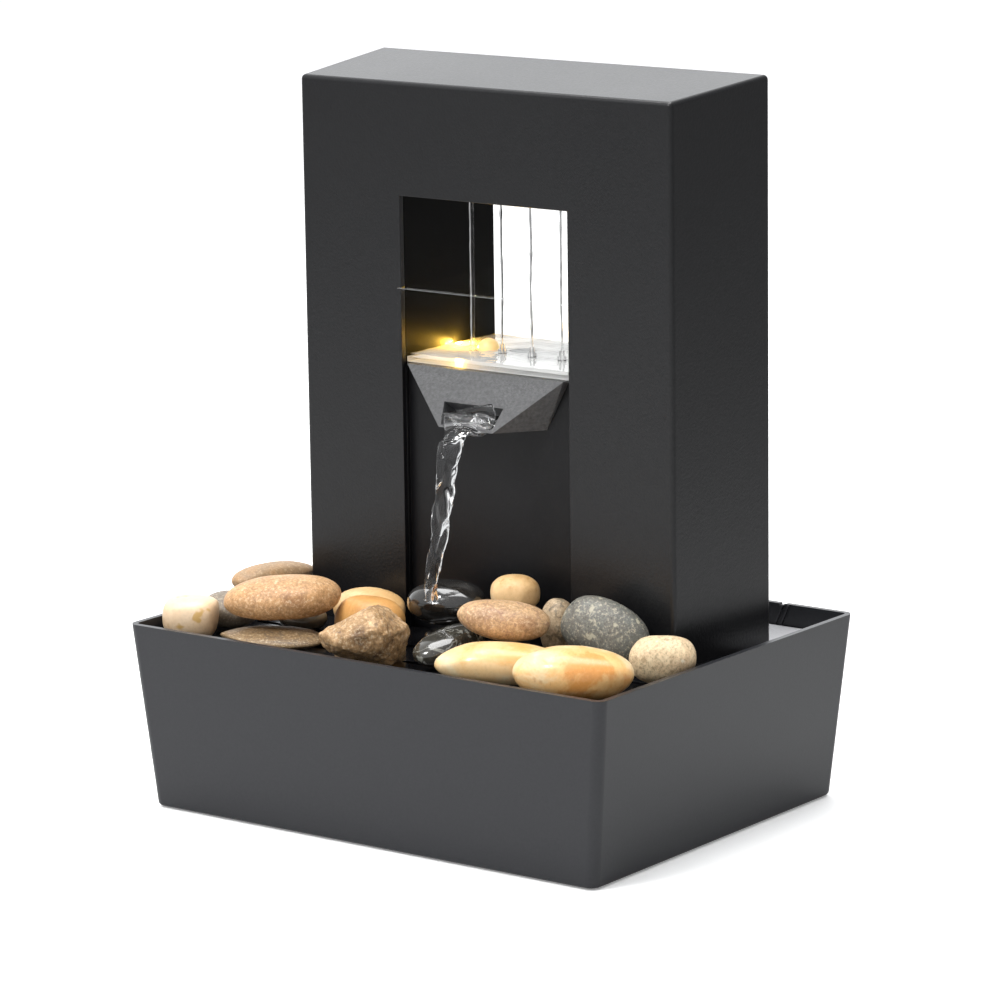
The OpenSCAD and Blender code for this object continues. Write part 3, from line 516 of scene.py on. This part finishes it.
stone_paints = {
    "pebble_cream": stone(
        "stone_cream",
        tones=[(0.2, (0.62, 0.47, 0.3)), (0.45, (0.76, 0.63, 0.45)), (0.7, (0.82, 0.72, 0.56))],
        specks=[(160, 0.6, (0.62, 0.36, 0.08), 0.8)],
        mottle=0.2, rough=0.42, scale=60, grit=0.1, coat=0.15),
    "pebble_slate_left": stone(
        "stone_slate",
        tones=[(0.3, (0.14, 0.13, 0.11)), (0.7, (0.25, 0.24, 0.21))],
        specks=[(500, 0.6, (0.36, 0.34, 0.28), 0.5)],
        rough=0.5, scale=70),
    "pebble_tan_large": stone(
        "stone_tan",
        tones=[(0.25, (0.36, 0.2, 0.09)), (0.5, (0.52, 0.33, 0.16)), (0.75, (0.66, 0.47, 0.27))],
        specks=[(700, 0.62, (0.3, 0.16, 0.07), 0.6), (260, 0.66, (0.72, 0.56, 0.36), 0.6)],
        mottle=1.0, rough=0.5, scale=45, pits=0.12, grit=0.2),
    "pebble_brown_left": stone(
        "stone_umber",
        tones=[(0.3, (0.2, 0.17, 0.13)), (0.52, (0.34, 0.25, 0.15)), (0.72, (0.52, 0.3, 0.12))],
        rough=0.5, scale=40),
    "pebble_slab": stone(
        "stone_slab",
        tones=[(0.25, (0.16, 0.12, 0.07)), (0.5, (0.23, 0.17, 0.09)), (0.8, (0.35, 0.27, 0.16))],
        specks=[(600, 0.6, (0.12, 0.09, 0.06), 0.5)],
        veins=(60, 0.02, (0.1, 0.07, 0.05), 0.6),
        mottle=1.0, rough=0.5, scale=60, pits=0.15, grit=0.25, stretch=(1, 1, 3)),
    "rock_rough": stone(
        "stone_rock",
        tones=[(0.25, (0.17, 0.11, 0.06)), (0.5, (0.42, 0.29, 0.15)), (0.75, (0.72, 0.55, 0.35))],
        specks=[(800, 0.6, (0.65, 0.52, 0.36), 0.5), (300, 0.63, (0.1, 0.06, 0.04), 0.6)],
        mottle=1.0, rough=0.62, scale=90, pits=0.25, grit=0.5),
    "pebble_straw": stone(
        "stone_straw",
        tones=[(0.3, (0.7, 0.48, 0.22)), (0.7, (0.85, 0.68, 0.42))],
        mottle=0.2, rough=0.4, scale=40),
    "pebble_orange": stone(
        "stone_orange",
        tones=[(0.3, (0.44, 0.22, 0.06)), (0.5, (0.6, 0.35, 0.12)), (0.75, (0.7, 0.47, 0.21))],
        mottle=0.2, rough=0.42, scale=45),
    "pebble_black_top": stone(
        "stone_black",
        tones=[(0.3, (0.006, 0.007, 0.008)), (0.7, (0.018, 0.019, 0.019))],
        mottle=0.06, rough=0.12, scale=60, grit=0.1, coat=1.0),
    "pebble_black_front": stone(
        "stone_black_veined",
        tones=[(0.3, (0.01, 0.011, 0.011)), (0.7, (0.045, 0.048, 0.042))],
        specks=[(350, 0.64, (0.4, 0.4, 0.35), 0.6)],
        veins=(70, 0.012, (0.5, 0.5, 0.45), 0.5),
        mottle=0.06, rough=0.14, scale=60, grit=0.12, coat=1.0),
    "pebble_yellow": stone(
        "stone_yellow",
        tones=[(0.3, (0.6, 0.4, 0.17)), (0.55, (0.78, 0.6, 0.34)), (0.75, (0.82, 0.68, 0.44))],
        specks=[(420, 0.63, (0.6, 0.3, 0.08), 0.6)],
        mottle=0.2, rough=0.42, scale=60),
    "pebble_pink": stone(
        "stone_pink",
        tones=[(0.25, (0.36, 0.22, 0.12)), (0.5, (0.58, 0.42, 0.25)), (0.75, (0.74, 0.57, 0.37))],
        specks=[(600, 0.64, (0.26, 0.13, 0.08), 0.6)],
        veins=(75, 0.018, (0.3, 0.15, 0.1), 0.6),
        mottle=1.0, rough=0.5, scale=55, grit=0.2),
    "pebble_speckled_small": stone(
        "stone_speckled_light",
        tones=[(0.3, (0.34, 0.29, 0.2)), (0.7, (0.62, 0.54, 0.4))],
        specks=[(420, 0.55, (0.16, 0.13, 0.09), 0.7)],
        mottle=1.0, rough=0.5, scale=70, grit=0.25),
    "pebble_speckled_large": stone(
        "stone_speckled",
        tones=[(0.3, (0.1, 0.13, 0.14)), (0.7, (0.2, 0.23, 0.23))],
        specks=[(330, 0.6, (0.52, 0.48, 0.36), 0.8), (800, 0.62, (0.06, 0.06, 0.05), 0.6)],
        mottle=1.0, rough=0.48, scale=50, grit=0.2),
    "pebble_beige": stone(
        "stone_beige",
        tones=[(0.36, (0.74, 0.48, 0.18)), (0.5, (0.84, 0.64, 0.36)), (0.62, (0.88, 0.76, 0.54))],
        mottle=0.2, rough=0.36, scale=35, coat=0.2),
    "pebble_amber": stone(
        "stone_amber",
        tones=[(0.36, (0.68, 0.34, 0.1)), (0.46, (0.8, 0.54, 0.24)), (0.56, (0.84, 0.68, 0.42)),
               (0.66, (0.9, 0.82, 0.66))],
        specks=[(260, 0.68, (0.6, 0.28, 0.1), 0.5)],
        mottle=0.2, rough=0.36, scale=42, coat=0.2),
    "pebble_sand": stone(
        "stone_sand",
        tones=[(0.3, (0.66, 0.51, 0.33)), (0.7, (0.88, 0.75, 0.54))],
        specks=[(500, 0.6, (0.36, 0.24, 0.13), 0.6), (350, 0.66, (0.85, 0.78, 0.62), 0.6)],
        mottle=1.0, rough=0.55, scale=60, grit=0.25, pits=0.12),
    "pebble_dark_mid": stone(
        "stone_dark_mid",
        tones=[(0.3, (0.01, 0.011, 0.012)), (0.7, (0.04, 0.04, 0.04))],
        mottle=0.06, rough=0.15, coat=1.0),
    "pebble_dark_right": stone(
        "stone_dark_right",
        tones=[(0.3, (0.02, 0.018, 0.014)), (0.7, (0.06, 0.055, 0.045))],
        mottle=0.06, rough=0.2, coat=0.8),
    "pebble_dark_left": stone(
        "stone_dark_left",
        tones=[(0.3, (0.03, 0.028, 0.022)), (0.7, (0.09, 0.08, 0.06))],
        mottle=0.06, rough=0.3, coat=0.5),
}


def facets(seed, count, low, high):
    """Soft flat spots for a stone: directions, and how far out each lies as a share of the stone's reach."""
    dice = random.Random(seed)
    flats = []
    while len(flats) < count:
        way = Vector((dice.uniform(-1, 1), dice.uniform(-1, 1), dice.uniform(-1, 1)))
        if 0.3 < way.length < 1:
            flats.append((way.normalized(), dice.uniform(low, high)))
    return flats


def pebble(node, seed, lumps=0.35, size=70, crags=0.0, level=2, flats=(9, 0.72, 0.92), hard=0.3, grow=1.03):
    """The CAD pebble, smoothed, then worn inwards by flat spots and noise. lumps and crags are depths in mm, size
    is the noise's scale, and grow makes up for what is worn away."""
    bm = welded(node)
    bmesh.ops.join_triangles(bm, faces=bm.faces, angle_face_threshold=0.7, angle_shape_threshold=0.9)
    made = add_object(node + "_stone", finished_mesh(node + "_mesh", bm), "head", stone_paints[node], (node,))
    rounder = made.modifiers.new("round", "SUBSURF")
    rounder.levels = rounder.render_levels = level
    apply_modifiers(made)
    mesh = made.data
    low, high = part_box(node)
    middle, reach = (low + high) / 2, (high - low) / 2
    offset = Vector((seed * 3.1, seed * 1.7, seed * 2.3))
    cuts = facets(seed, *flats)
    before = [(vertex.co.copy(), vertex.normal.copy()) for vertex in mesh.vertices]
    for vertex, (place, outward) in zip(mesh.vertices, before):
        spot = Vector(a / b for a, b in zip(place - middle, reach))
        for way, limit in cuts:
            over = spot.dot(way) - limit
            if over > 0:
                spot -= way * hard * over * over / (over + 0.07)
        place = middle + grow * Vector(a * b for a, b in zip(spot, reach))
        at = place * size + offset
        worn = lumps * (0.5 + 0.5 * noise.noise(at)) + 0.3 * lumps * (0.5 + 0.5 * noise.noise(at * 2.7))
        if crags:
            ridge = 1 - abs(noise.noise(at * 1.6 + offset)) - 0.5 * abs(noise.noise(at * 3.9))
            worn += crags * max(0, ridge)
        vertex.co = place - outward * worn * MM
    mesh.shade_smooth()


# how the stones that aren't smooth pebbles are worn
wear = {
    "rock_rough": dict(lumps=0.8, size=170, crags=0.9, level=3, flats=(22, 0.6, 0.86), hard=0.85, grow=1.12),
    "pebble_slab": dict(lumps=0.5, size=90, crags=0.2, flats=(14, 0.7, 0.9), hard=0.45, grow=1.05),
}
for number, node in enumerate(stone_paints):
    pebble(node, number, **wear.get(node, {}))

# ---- water ----------------------------------------------------------------------------

WATER_LEVEL = 163.9 * MM
THREADS = 4
THREAD_PITCH = 13.4 * MM
THREAD_Y = 18 * MM


def thread_x(k):
    return (k - (THREADS - 1) / 2) * THREAD_PITCH


def wetted_side():
    """Where water wets the acrylic, its own face doesn't show."""
    p = Paint("water_side")
    uneven = p.noise(40, 2)
    p.shade(Roughness=p.between(uneven, 0.02, 0.06), Normal=p.bump(uneven, 0.1, 0.02 * MM))
    return p.let_through(p.maths("MAXIMUM", uneven, 1.0))


def water_height(x, y):
    """The surface in the tray, with a ring of ripples around each thread."""
    ripple = 0.25 * noise.noise(Vector((x, y, 0)) * 120)
    for k in range(THREADS):
        far = (Vector((x, y)) - Vector((thread_x(k), THREAD_Y))).length / MM
        ripple += 0.3 * math.cos(far * 1.9) * math.exp(-far / 7)
    return WATER_LEVEL + ripple * MM


def tray_water():
    """The water in the tray. Only its surface bends and reflects light."""
    low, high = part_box("clear_tray")
    gap = 0.08 * MM
    wall, front_wall, taper = 1.8 * MM, 3.2 * MM, 1.15 * MM
    half_front = 37.25 * MM - wall - gap
    y_front, y_back = low.y + front_wall + gap, high.y - wall - gap
    z_floor = low.z + wall + gap
    steps_x, steps_y = 60, 44
    bm = bmesh.new()
    top, base = [], []
    for j in range(steps_y + 1):
        back = j / steps_y
        half = half_front - taper * back
        y = y_front + (y_back - y_front) * back
        across = [-half + 2 * half * i / steps_x for i in range(steps_x + 1)]
        top.append([bm.verts.new((x, y, water_height(x, y))) for x in across])
        base.append([bm.verts.new((x, y, z_floor)) for x in across])
    for j in range(steps_y):
        for i in range(steps_x):
            bm.faces.new((top[j][i], top[j][i + 1], top[j + 1][i + 1], top[j + 1][i]))
            bm.faces.new((base[j][i], base[j + 1][i], base[j + 1][i + 1], base[j][i + 1]))
    rim = [(0, i) for i in range(steps_x)] + [(j, steps_x) for j in range(steps_y)]
    rim += [(steps_y, i) for i in range(steps_x, 0, -1)] + [(j, 0) for j in range(steps_y, 0, -1)]
    for (j, i), (m, n) in zip(rim, rim[1:] + rim[:1]):
        bm.faces.new((base[j][i], base[m][n], top[m][n], top[j][i]))
    mesh = finished_mesh("tray_water", bm)
    smooth_below(mesh, 50)
    made = add_object("tray_water", mesh, "head", water_still)
    made.data.materials.append(wetted_side())
    for face in made.data.polygons:
        face.material_index = 0 if face.normal.z > 0.5 else 1


def wet_thread(k):
    """A thread with the film of water that runs down it, a little uneven. The first carries the most."""
    low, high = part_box("drip_threads")
    top = high.z - 1 * MM
    steps = 90
    path = []
    for i in range(steps + 1):
        z = top + (low.z - top) * i / steps
        sway = 0.35 * MM * noise.noise(Vector((k * 5.3, 0, z * 45)))
        path.append(Vector((thread_x(k) + sway, THREAD_Y + 0.5 * sway, z)))

    def radius(share, angle):
        beads = 0.5 + 0.5 * noise.noise(Vector((k * 9.1 + 2, share * 14, 0)))
        return (0.3 + 0.4 * beads ** 2 + (0.4 if k == 0 else 0.0)) * MM

    return tube_mesh("wet_thread_%d" % (k + 1), path, radius, 14)


tray_water()
for k in range(THREADS):
    add_object("wet_thread_%d" % (k + 1), wet_thread(k), "head", water, ("drip_threads",))

# places along the stream's middle, and its half width there, in mm
STREAM = [(0, -5.5, 143.6, 11.5), (0, -9.5, 144.2, 12.0), (0, -13.5, 143.6, 11.5), (-0.5, -18.5, 141.4, 7.6),
          (0, -21.9, 138.6, 5.6), (0, -23.8, 134, 4.7), (0, -25, 129, 3.9), (-0.3, -25.9, 123.5, 3.7),
          (-0.8, -26.6, 118, 4.4), (-1, -27.6, 112, 4.3), (-1.2, -28.3, 107, 3.4), (-2, -29.3, 101, 2.8),
          (-2.8, -30.2, 95, 2.9), (-3.4, -31, 89, 3.1), (-3.8, -31, 84, 3.4), (-4, -30.8, 80.5, 3.0)]


def stream():
    """The water that falls from the spout: a flat sheet that draws together into a twisting, folded rope."""
    steps = 10
    path = smooth_path([place[:3] for place in STREAM], steps)
    widths = [at.x for at in smooth_path([(place[3], 0) for place in STREAM], steps)]

    def radius(share, angle):
        wide = widths[round(share * (len(widths) - 1))]
        falling = min(1.0, share / 0.3)
        twist = angle - share * 9.0
        fold = 1 + falling * (0.2 * math.cos(2 * twist) + 0.16 * math.sin(3 * twist + 1.5))
        ripple = 0.16 * noise.noise(Vector((math.cos(angle) * 1.6, math.sin(angle) * 1.6, share * 22)))
        return wide * 0.92 * fold * (1 + ripple)

    def thickness(share):
        return 0.13 + 0.42 * min(1.0, max(0.0, share - 0.1) / 0.25)

    return tube_mesh("stream", path, radius, 36, squash=thickness)


add_object("water_stream", stream(), "head", water)

# ---- stage ----------------------------------------------------------------------------

SWEEP_AT = (-0.05, -0.3, 0)  # middle of the lit paper
PAPER_HALF = 6.0


def add_stage():
    """White paper. What it reflects fades away from the object, as in a studio whose sides are dark."""
    p = Paint("floor_paper")
    fine = p.noise(30, 2)
    paper = p.mix(fine, (0.93, 0.93, 0.93), (0.95, 0.95, 0.95))
    reach = p.node("VectorMath", operation="DISTANCE")
    p.link(p.place, reach.inputs[0])
    reach.inputs[1].default_value = SWEEP_AT
    spread = p.maths("DIVIDE", reach.outputs["Value"], 2.0)
    fade = p.ramp(spread, [(0.26, 0.6), (0.5, 0.34), (0.75, 0.26)])
    seen = p.node("LightPath").outputs["Is Camera Ray"]
    p.shade(Base_Color=p.mix(seen, fade, paper), Roughness=0.9, Normal=p.bump(fine, 0.05, 0.05 * MM),
            Emission_Color=(1, 1, 1), Emission_Strength=p.maths("MULTIPLY", seen, 0.22))
    mesh = bpy.data.meshes.new("floor")
    corners = [(x * PAPER_HALF, y * PAPER_HALF, 0) for x, y in ((-1, -1), (1, -1), (1, 1), (-1, 1))]
    mesh.from_pydata(corners, [], [(0, 1, 2, 3)])
    mesh.materials.append(p.material)
    floor = new_object("floor", mesh)


def add_light(name, place, aim, size, power):
    data = bpy.data.lights.new(name, "AREA")
    data.shape = "RECTANGLE"
    data.size = data.size_y = size
    data.energy = power
    made = new_object(name, data)
    made.location = place
    made.rotation_euler = (Vector(aim) - Vector(place)).to_track_quat("-Z", "Y").to_euler()


def add_world():
    """A studio that is brightest straight behind the object and dark to the right."""
    world = bpy.data.worlds.new("studio")
    bpy.context.scene.world = world
    world.use_nodes = True
    sky = Nodes(world.node_tree)
    back = sky.tree.nodes["Background"]
    back.inputs["Color"].default_value = (0.97, 0.985, 1, 1)
    way = sky.node("TexCoord").outputs["Generated"]

    def towards(direction):
        made = sky.node("VectorMath", operation="DOT_PRODUCT")
        sky.link(way, made.inputs[0])
        made.inputs[1].default_value = direction
        return made.outputs["Value"]

    behind = sky.between(towards((-math.sin(YAW), math.cos(YAW), 0)), 0.85, 1.7, 0.5, 0.95)
    right = sky.between(towards((math.cos(YAW), math.sin(YAW), 0)), 1.0, 0.4, 0.1, 0.8)
    sky.link(sky.maths("MULTIPLY", behind, right), back.inputs["Strength"])


add_stage()
add_world()
add_light("overhead", (-0.1, 0.1, 1.6), (0, 0, 0), 1.2, 30)
add_light("key", (-0.35, -1.35, 1.6), (0, 0, 0.05), 0.4, 20)
bpy.context.scene.view_settings.view_transform = "Standard"
